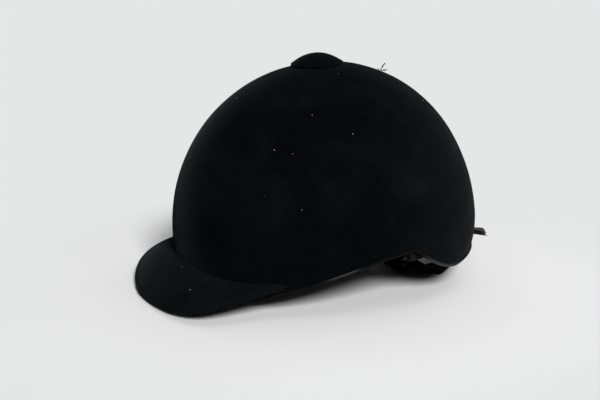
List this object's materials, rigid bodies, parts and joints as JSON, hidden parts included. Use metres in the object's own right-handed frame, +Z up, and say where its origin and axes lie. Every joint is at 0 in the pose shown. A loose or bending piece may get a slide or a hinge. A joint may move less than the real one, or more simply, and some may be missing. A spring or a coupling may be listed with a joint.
{
  "type": "riding helmet",
  "caption": "Velvet-covered riding helmet with a soft peak, covered crown button, bow, padded lining and a folding chin harness with a side-release buckle.",
  "frame": {"origin": "middle of the bounding box, on the table the helmet lies on", "axes": "+Z up, -Y to the peak, +X to the wearer's left"},
  "size_m": [0.211, 0.3158, 0.1896],
  "materials": {
    "velvet": "short-pile velvet, near black",
    "satin": "woven satin ribbon",
    "shell": "moulded shell, matt",
    "foam": "expanded polystyrene beads",
    "lining": "quilted brushed lining",
    "peak_cloth": "plain twill",
    "leatherette": "soft coated leatherette",
    "rivet_metal": "plated steel",
    "strap_plastic": "moulded black plastic",
    "webbing": "flat woven webbing"
  },
  "bodies": {
    "helmet": {"velvet_front_panel": "velvet", "velvet_side_panel_left": "velvet", "velvet_side_panel_right": "velvet", "velvet_ear_panel_left": "velvet", "velvet_ear_panel_right": "velvet", "velvet_rear_panel": "velvet", "edge_binding": "satin", "outer_shell": "shell", "impact_liner": "foam", "crown_lining": "lining", "sweatband": "lining", "button_cover": "velvet", "button_core": "shell", "button_rivet": "rivet_metal", "button_washer": "rivet_metal", "peak_core": "shell", "peak_cover": "velvet", "peak_lining": "peak_cloth", "peak_edge_binding": "velvet", "bow_loops": "satin", "bow_knot": "satin", "bow_tails": "satin", "nape_band": "leatherette", "nape_band_studs": "rivet_metal", "front_hanger_left": "strap_plastic", "rear_hanger_left": "strap_plastic", "front_hanger_right": "strap_plastic", "rear_hanger_right": "strap_plastic", "hanger_rivets": "rivet_metal"},
    "left_straps": {"front_strap_left": "webbing", "rear_strap_left": "webbing", "strap_slider_left": "strap_plastic"},
    "left_chin_strap": {"chin_strap_left": "webbing", "buckle_socket": "strap_plastic"},
    "right_straps": {"front_strap_right": "webbing", "rear_strap_right": "webbing", "strap_slider_right": "strap_plastic"},
    "right_chin_strap": {"chin_strap_right": "webbing", "chin_strap_keeper": "webbing", "buckle_plug": "strap_plastic"}
  },
  "joints": [
    {"name": "left_straps_fold", "type": "hinge", "parent": "helmet", "child": "left_straps", "pos_m": [0.085, 0.00655, 0.03621], "axis": [0, -0.9951, -0.099], "range_deg": [0, 85]},
    {"name": "left_chin_strap_fold", "type": "hinge", "parent": "left_straps", "child": "left_chin_strap", "pos_m": [0.02387, -0.00642, 0.00496], "axis": [0, -0.9951, -0.099], "range_deg": [0, 180]},
    {"name": "right_straps_fold", "type": "hinge", "parent": "helmet", "child": "right_straps", "pos_m": [-0.085, 0.00655, 0.03621], "axis": [0, 0.9951, 0.099], "range_deg": [0, 85]},
    {"name": "right_chin_strap_fold", "type": "hinge", "parent": "right_straps", "child": "right_chin_strap", "pos_m": [-0.02555, 0.02574, 0.00493], "axis": [0, 0.9951, 0.099], "range_deg": [0, 180]}
  ]
}
